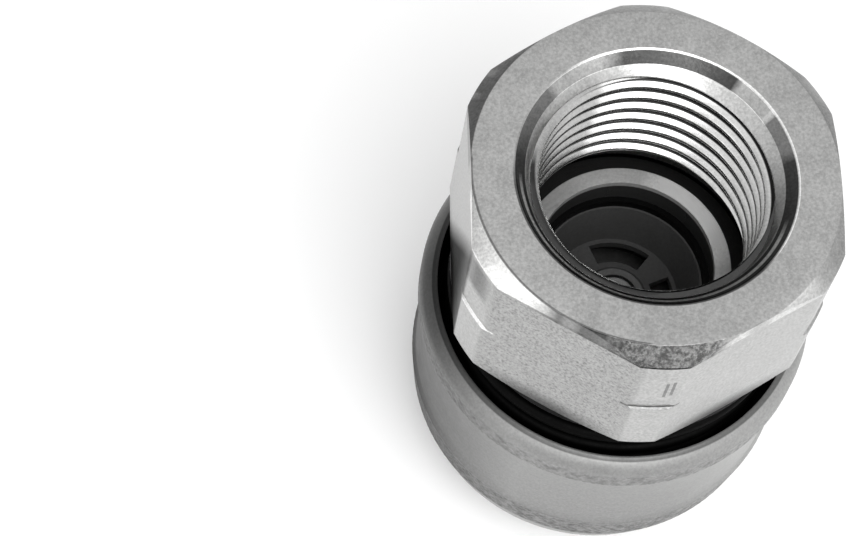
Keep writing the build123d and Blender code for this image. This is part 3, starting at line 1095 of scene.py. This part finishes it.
@dataclass
class Studio:
    """Floor, backdrop, lamps and camera, in millimetres."""

    camera_place: Triple = (-16.759, -104.595, 191.363)
    camera_right: Triple = (0.980869, 0.17532, 0.084604)
    camera_down: Triple = (0.194667, -0.883389, -0.426296)
    camera_turn: float = 11.297
    object_top: float = 47.0
    focal_pixels: float = 2718.9
    nearest: float = 5.0
    farthest: float = 10000.0
    horizon: float = 0.28
    zenith: float = 0.95
    horizon_height: float = 0.10
    zenith_height: float = 0.85
    aim_height: float = 30.0
    floor_half_width: float = 1200.0
    floor_tone: float = 0.93
    floor_roughness: float = 0.9
    floor_shine: float = 0.1
    boxes: tuple[SoftBox, ...] = (
        SoftBox((-0.87, -0.44, 0.22), 0.90, 0.97, 0.75),
        SoftBox((0.77, -0.57, 0.26), 0.80, 0.96, 0.60),
        SoftBox((0.95, 0.25, 0.15), 0.55, 0.95, 0.35),
    )
    lamps: tuple[Lamp, ...] = (
        Lamp("key_lamp", (30, -160, 280), width=220, power=0.62),
        Lamp("fill_lamp", (-220, -160, 140), width=200, power=0.06),
    )

    def camera(self) -> None:
        """Sets the camera at the photograph's viewing angle, as fitted from the object's top."""
        turn = Matrix.Rotation(math.radians(-self.camera_turn), 3, "Z")
        right = turn @ Vector(self.camera_right).normalized()
        up = -(turn @ Vector(self.camera_down).normalized())
        back = right.cross(up)
        place = turn @ Vector(self.camera_place) + Vector((0, 0, self.object_top))
        data = bpy.data.cameras.new("photo_camera")
        data.sensor_width = SENSOR_WIDTH
        data.lens = SENSOR_WIDTH * self.focal_pixels / PHOTO_WIDTH
        data.clip_start = self.nearest * MM
        data.clip_end = self.farthest * MM
        holder = add_object("photo_camera", data)
        holder.matrix_world = Matrix((
            (right.x, up.x, back.x, place.x * MM),
            (right.y, up.y, back.y, place.y * MM),
            (right.z, up.z, back.z, place.z * MM),
            (0, 0, 0, 1),
        ))
        bpy.context.scene.camera = holder

    def light(self, lamp: Lamp) -> None:
        """Adds a lamp aimed at the object.

        Args:
            lamp: The lamp.
        """
        data = bpy.data.lights.new(lamp.name, "AREA")
        data.shape = "DISK"
        data.size = lamp.width * MM
        data.energy = lamp.power
        spot = Vector(lamp.place) * MM
        aim = (Vector((0, 0, self.aim_height * MM)) - spot).to_track_quat("-Z", "Y")
        add_object(lamp.name, data).matrix_world = Matrix.Translation(spot) @ aim.to_matrix().to_4x4()

    def world(self) -> None:
        """Soft studio sky: darker near the horizon, bright overhead, with a few soft boxes."""
        world = bpy.data.worlds.new("studio")
        bpy.context.scene.world = world
        world.use_nodes = True
        tree = world.node_tree
        tree.nodes.clear()
        add = tree.nodes.new
        link = tree.links.new
        output = add("ShaderNodeOutputWorld")
        sky = add("ShaderNodeBackground")
        view = add("ShaderNodeTexCoord").outputs["Generated"]
        parts = add("ShaderNodeSeparateXYZ")
        link(view, parts.inputs[0])
        levels = (self.horizon_height, self.zenith_height, self.horizon, self.zenith)
        light = mapped(tree, parts.outputs["Z"], levels, smooth=True)
        for box in self.boxes:
            facing = add("ShaderNodeVectorMath")
            facing.operation = "DOT_PRODUCT"
            facing.inputs[1].default_value = Vector(box.direction).normalized()
            link(view, facing.inputs[0])
            glow = mapped(tree, facing.outputs["Value"], (box.start, box.full, 0.0, box.gain), smooth=True)
            total = add("ShaderNodeMath")
            total.operation = "ADD"
            link(light, total.inputs[0])
            link(glow, total.inputs[1])
            light = total.outputs[0]
        link(light, sky.inputs["Strength"])
        link(sky.outputs["Background"], output.inputs["Surface"])
        sky.inputs["Color"].default_value = (1, 1, 1, 1)

    def floor(self) -> None:
        """Adds the pale floor that keeps the object's shadow."""
        mesh = bmesh.new()
        bmesh.ops.create_grid(mesh, x_segments=1, y_segments=1, size=self.floor_half_width * MM)
        data = bpy.data.meshes.new("floor")
        mesh.to_mesh(data)
        mesh.free()
        nodes = Nodes("floor_pale")
        nodes.shader.inputs["Base Color"].default_value = (*[self.floor_tone] * 3, 1)
        nodes.shader.inputs["Roughness"].default_value = self.floor_roughness
        nodes.shader.inputs["Specular IOR Level"].default_value = self.floor_shine
        data.materials.append(nodes.material)
        add_object("floor", data)

    def build(self) -> None:
        """Sets up the whole studio."""
        self.camera()
        self.world()
        self.floor()
        for lamp in self.lamps:
            self.light(lamp)
        bpy.context.scene.view_settings.view_transform = "Standard"


# Painted shade on the mouth's chamfer and on one corner of the face chamfer, which other zones repeat with
# changes as painted highlights and shade
MOUTH = Zone(46.14, 46.90, 10.4, 11.7, 0.15, soft=0.02, feather=0.03)
FACE_CHAMFER = Zone(45.1, 46.97, 15.03, 17.0, 0.68, soft=0.03, angle=30.0, half_angle=28.0)

PORT_ZONES = (
    # Painted shade in the skirt, painted light on the relief below the thread, and painted shade in the
    # thread roots and the root under the lip
    Zone(20.0, 29.42, 10.0, 15.0, 0.06),
    Zone(28.0, 33.20, 9.0, 11.6, 1.40),
    Zone(34.0, 44.76, 10.2, 10.9, 0.05, soft=0.04),
    Zone(44.76, 45.10, 10.2, 10.9, 0.05, soft=0.04, angle=-145.0, half_angle=130.0, feather=0.1),
    # Painted highlights and shade on the lip below the mouth
    Zone(45.36, 46.12, 9.35, 10.6, 1.3, soft=0.02, angle=42.0, half_angle=38.0, feather=0.1),
    Zone(45.34, 45.56, 9.7, 9.96, 2.4, soft=0.03, angle=-100.0, half_angle=80.0, feather=0.1),
    Zone(45.60, 46.10, 9.96, 10.6, 0.55, soft=0.03, angle=-110.0, half_angle=85.0, feather=0.1),
    # Painted highlights and shade on the edge and chamfer of the mouth
    Zone(46.90, 47.05, 11.50, 11.64, 2.2, soft=0.02, angle=40.0, half_angle=80.0, feather=0.1),
    Zone(46.80, 47.05, 11.36, 11.66, 0.30, soft=0.02, angle=-110.0, half_angle=70.0, feather=0.1),
    MOUTH,
    replace(MOUTH, factor=6.00, angle=120.0, half_angle=13.0),
    replace(MOUTH, factor=0.55, angle=92.0, half_angle=14.0),
    Zone(46.38, 46.60, 10.8, 11.2, 9.00, soft=0.03, angle=-100.0, half_angle=75.0, feather=0.10),
    replace(MOUTH, factor=2.60, angle=150.0, half_angle=16.0),
    replace(MOUTH, factor=6.60, angle=40.0, half_angle=10.0, feather=0.005),
    replace(MOUTH, factor=3.60, angle=20.0, half_angle=10.0, feather=0.008),
    # Left corner: a painted highlight on its chamfer, a dark streak on its flat and a painted highlight on
    # its step
    replace(FACE_CHAMFER, low=45.6, factor=1.95, angle=-150.0, half_angle=24.0),
    Zone(41.2, 45.3, 15.2, 17.0, 0.36, soft=0.5, angle=-152.0, half_angle=5.0, feather=0.004),
    Zone(37.40, 37.64, 16.1, 16.7, 2.20, soft=0.03, angle=-150.0, half_angle=12.0),
    # Front corner: its worn chamfer, and painted shade along its step
    Zone(45.2, 47.2, 15.02, 17.0, 0.28, soft=0.03, wear=Wear.CHIPPED, angle=-90.0, half_angle=17.0),
    Zone(37.56, 37.72, 16.1, 16.7, 0.22, soft=0.02, angle=-90.0, half_angle=12.0),
    Zone(37.40, 37.56, 16.1, 16.7, 0.60, soft=0.02, angle=-90.0, half_angle=12.0),
    # Darker edges of the face and chamfer beside the front corner, and a painted highlight on the chamfer
    # right of it
    Zone(46.90, 47.10, 14.88, 15.06, 0.45, soft=0.03, angle=-140.0, half_angle=45.0),
    Zone(45.2, 46.97, 15.0, 16.2, 0.30, soft=0.03, angle=-117.0, half_angle=12.0, feather=0.02),
    Zone(45.2, 45.36, 16.0, 16.5, 0.15, soft=0.03, angle=-90.0, half_angle=9.0),
    replace(FACE_CHAMFER, low=45.6, factor=1.45, angle=-54.0, half_angle=17.0, feather=0.02),
    # Two scratches on the front corner
    Zone(39.6, 42.3, 16.0, 16.6, 0.45, soft=0.1, angle=-87.4, half_angle=0.45, feather=0.00001),
    Zone(39.9, 42.5, 16.0, 16.6, 0.45, soft=0.1, angle=-85.5, half_angle=0.45, feather=0.00001),
    # Painted shade on the chamfers of the corners at the back
    FACE_CHAMFER,
    replace(FACE_CHAMFER, factor=0.80, angle=90.0),
    replace(FACE_CHAMFER, factor=0.50, angle=150.0),
    # Pits on the front left flat and painted shade over that flat, and painted shade on the foot of the
    # left flat and on the lower edges of the flats above the gap
    Zone(29.0, 45.6, 14.7, 17.0, 0.52, wear=Wear.PITTED, angle=-120.0, half_angle=24.0),
    Zone(29.0, 45.6, 14.7, 17.0, 0.88, angle=-120.0, half_angle=25.0, feather=0.004),
    Zone(26.0, 35.2, 13.5, 16.45, 0.10, soft=1.8, angle=180.0, half_angle=24.0, feather=0.004, lean=1.6),
    Zone(26.0, 31.0, 14.0, 15.7, 0.20, soft=0.9),
)

THREAD_ZONES = (
    # Painted shade in the roots, in the root under the lip, on the left side and on the near side under the
    # lip
    Zone(30.0, 44.8, 9.77, 11.0, 0.02, soft=0.04),
    Zone(44.9, 45.12, 10.2, 11.0, 0.02, soft=0.03, angle=-145.0, half_angle=130.0, feather=0.1),
    Zone(33.0, 45.5, 9.0, 10.6, 0.60, soft=0.2, angle=147.0, half_angle=34.0, feather=0.02),
    Zone(45.0, 45.6, 9.5, 10.9, 0.10, soft=0.05, angle=-100.0, half_angle=95.0, feather=0.1),
)

BARREL_ZONES = (
    # Painted shade in the bore and on the outer wall, and a painted highlight and painted shade on the
    # bright and dull sides of the ledge
    Zone(10.0, 29.8, 5.0, 8.2, 0.10),
    Zone(10.0, 30.38, 9.1, 13.0, 0.06, soft=0.03),
    Zone(30.3, 30.5, 7.0, 9.3, 2.4, angle=38.0, half_angle=25.0, feather=0.15),
    Zone(30.3, 30.5, 7.0, 9.3, 0.62, angle=165.0, half_angle=40.0, feather=0.25),
)

SLEEVE_ZONES = (
    # Painted shade in the bore and on the rear edge, both gripping bands darker and mottled, painted shade
    # on the left and front sides and a painted highlight on the right side
    Zone(14.5, 25.15, 12.0, 15.9, 0.03),
    Zone(25.0, 25.4, 15.6, 16.25, 0.35, soft=0.06),
    Zone(21.9, 23.9, 16.3, 17.4, 0.60, soft=0.15, wear=Wear.MOTTLED),
    Zone(7.6, 11.3, 16.0, 17.2, 0.42, soft=0.2, wear=Wear.MOTTLED),
    Zone(4.0, 26.0, 15.0, 17.4, 0.28, soft=0.5, angle=180.0, half_angle=40.0, feather=0.25),
    Zone(4.0, 24.2, 15.0, 17.4, 0.80, soft=0.5, angle=-95.0, half_angle=35.0, feather=0.4),
    Zone(4.0, 24.2, 15.0, 17.4, 1.25, soft=0.5, angle=-15.0, half_angle=30.0, feather=0.3),
)

# Boss of the valve guide
GUIDE_ZONES = (Zone(23.5, 24.5, 0.0, 2.95, 2.0, soft=0.05),)

BLACK_RUBBER = (0.02, 0.02, 0.02)
PALE_POLYMER = (0.72, 0.71, 0.67)

FINISHES = (
    SteelFinish("port_body_steel", 0.42, 0.32, mottle=0.20, mark_depth=0.014, zones=PORT_ZONES),
    SteelFinish("thread_steel", 0.70, 0.25, Grain.TURNED, mark_depth=0.003, zones=THREAD_ZONES),
    SteelFinish("barrel_steel", 0.62, 0.38, Grain.FACED, mark_depth=0.030, mark_scale=3600.0,
                brushed=0.6, metallic=0.45, zones=BARREL_ZONES),
    SteelFinish("sleeve_steel", 0.37, 0.50, Grain.TURNED, mark_depth=0.006, zones=SLEEVE_ZONES),
    SteelFinish("ring_steel", 0.14, 0.45),
    # The sleeve spring and its washer are near black as painted shade in the gap
    SteelFinish("spring_steel", 0.006, 0.60, Grain.DRAWN),
    SteelFinish("washer_steel", 0.006, 0.60),
    SteelFinish("guide_steel", 0.075, 0.70, mark_depth=0.004, metallic=0.3, zones=GUIDE_ZONES),
    # The snap ring is near black as painted shade deep in the port
    SteelFinish("snap_ring_steel", 0.010, 0.50),
    SteelFinish("poppet_steel", 0.30, 0.35, Grain.TURNED),
    SteelFinish("valve_spring_steel", 0.35, 0.30, Grain.DRAWN),
    SteelFinish("ball_steel", 0.75, 0.10, mark_depth=0.001),
    *(SealFinish(f"{place}seal_rubber", BLACK_RUBBER, 0.5) for place in ("", "body_", "valve_")),
    SealFinish("backup_polymer", PALE_POLYMER, 0.45),
)

SPRINGS = (
    Coil("sleeve_spring_wire", "sleeve_spring", "spring_steel", wire=0.6, mean_radius=14.36,
         bottom=14.6, top=28.7, turns=5.5, joint="sleeve_slide", travel=4.2),
    Coil("poppet_spring_wire", "poppet_spring", "valve_spring_steel", wire=0.42, mean_radius=3.45,
         bottom=17.3, top=22.5, turns=3.0, joint="poppet_slide", travel=2.4),
)


@dataclass
class Coupler:
    """The whole coupler socket."""

    frame: dict
    finishes: dict[str, Material] = field(default_factory=dict)

    def dress(self) -> None:
        """Gives each carried-over solid the finish of its slot."""
        slots = {entry["node"]: entry["material_slot"] for entry in self.frame["record"]["subparts"]}
        for name, shown in self.frame["nodes"].items():
            finish = self.finishes[slots[name]]
            shown.data.materials.clear()
            shown.data.materials.append(finish)
            log.info("%s wears %s", name, finish.name)

    def build(self) -> None:
        """Makes the finishes, dresses the solids and builds the detailed pieces."""
        for finish in FINISHES:
            self.finishes[finish.name] = finish.make()
        self.dress()
        PortBody().build(self.finishes["port_body_steel"], self.finishes["thread_steel"])
        ReleaseSleeve().build(self.finishes["sleeve_steel"])
        for spring in SPRINGS:
            spring.build(self.finishes[spring.slot])


def main() -> None:
    """Builds the whole scene."""
    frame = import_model()
    Studio().build()
    Coupler(frame).build()


if __name__ == "__main__":
    logging.basicConfig(level=logging.INFO, format="%(asctime)s %(name)s %(message)s")
    main()
